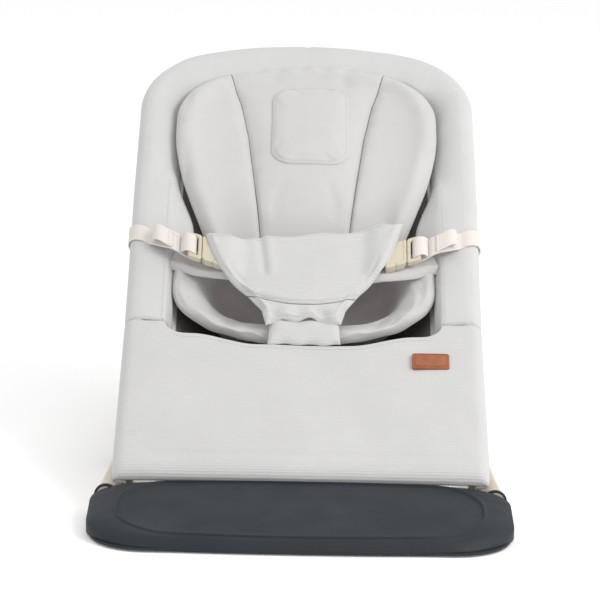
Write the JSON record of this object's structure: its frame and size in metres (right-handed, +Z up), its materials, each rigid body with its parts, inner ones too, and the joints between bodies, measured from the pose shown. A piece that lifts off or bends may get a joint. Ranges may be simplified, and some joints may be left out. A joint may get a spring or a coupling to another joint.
{
  "type": "bouncer seat",
  "caption": "Fabric baby bouncer seat on a tubular hoop that reclines and folds on a low base with a flat front plate and a folding rear stand.",
  "frame": {"origin": "on the floor, under the middle of the whole seat's footprint", "axes": "+Z up, -Y towards the front plate (the baby's feet), +X to the right seen from the front"},
  "size_m": [0.43, 0.7796, 0.4053],
  "materials": {
    "plate": "matt moulded",
    "frame_tube": "satin champagne powder coat",
    "stand_rod": "satin powder coat",
    "screw": "zinc plated",
    "rubber": "matt",
    "dark_fitting": "matt moulded",
    "ribbed_fabric": "fine crosswise rib",
    "cover_fabric": "plain weave",
    "insert_fabric": "soft plain weave",
    "webbing": "flat woven webbing",
    "buckle": "satin moulded",
    "leather": "smooth grain"
  },
  "bodies": {
    "root": {"plate_shell": "plate", "plate_cover": "plate", "plate_screw_1": "screw", "plate_screw_2": "screw", "plate_screw_3": "screw", "plate_screw_4": "screw", "plate_pad_right": "rubber", "plate_pad_left": "rubber", "tube_clamp_right": "dark_fitting", "tube_clamp_left": "dark_fitting", "base_tube_right": "frame_tube", "base_tube_left": "frame_tube", "base_rear_tube": "frame_tube", "rear_foot_right": "rubber", "rear_foot_left": "rubber", "cross_tube": "frame_tube", "recline_bracket_right": "dark_fitting", "recline_bracket_left": "dark_fitting"},
    "seat": {"pivot_lug_right": "frame_tube", "pivot_lug_left": "frame_tube", "hoop_side_tube_right": "frame_tube", "hoop_side_tube_left": "frame_tube", "hoop_top_tube": "frame_tube", "hem_bar": "frame_tube", "stand_bush_right": "dark_fitting", "stand_bush_left": "dark_fitting", "front_panel": "ribbed_fabric", "hem_channel": "ribbed_fabric", "cover_border_right": "cover_fabric", "cover_border_left": "cover_fabric", "back_sling": "cover_fabric", "seat_bucket": "insert_fabric", "back_pad": "insert_fabric", "head_panel": "insert_fabric", "hip_wing_right": "insert_fabric", "hip_wing_left": "insert_fabric", "lap_panel": "ribbed_fabric", "crotch_strap": "ribbed_fabric", "buckle_socket_right": "buckle", "buckle_socket_left": "buckle", "strap_right": "webbing", "strap_left": "webbing", "leather_tag": "leather"},
    "stand": {"stand_leg_right": "stand_rod", "stand_leg_left": "stand_rod", "foot_bar": "stand_rod", "stand_grip": "rubber"},
    "tongue_right": {"buckle_tongue_right": "buckle"},
    "tongue_left": {"buckle_tongue_left": "buckle"}
  },
  "joints": [
    {"name": "seat_recline", "type": "hinge", "parent": "root", "child": "seat", "pos_m": [0, -0.2238, 0.02], "axis": [1, 0, 0], "range_deg": [-24, 10], "deforming": ["front_panel", "hem_channel", "cover_border_right", "cover_border_left", "back_sling", "seat_bucket", "back_pad", "head_panel", "hip_wing_right", "hip_wing_left", "lap_panel", "crotch_strap"]},
    {"name": "stand_swing", "type": "hinge", "parent": "seat", "child": "stand", "pos_m": [0, 0.14494, 0.25375], "axis": [1, 0, 0], "range_deg": [-17, 7.5]},
    {"name": "buckle_release_right", "type": "slide", "parent": "seat", "child": "tongue_right", "axis": [0.9272, 0.305, 0.2175], "range_m": [0, 0.018], "deforming": ["strap_right"]},
    {"name": "buckle_release_left", "type": "slide", "parent": "seat", "child": "tongue_left", "axis": [-0.9272, 0.305, 0.2175], "range_m": [0, 0.018], "deforming": ["strap_left"]}
  ],
  "couplings": [
    {"joint": "stand_swing", "follows": "seat_recline", "ratio": 0.68}
  ]
}
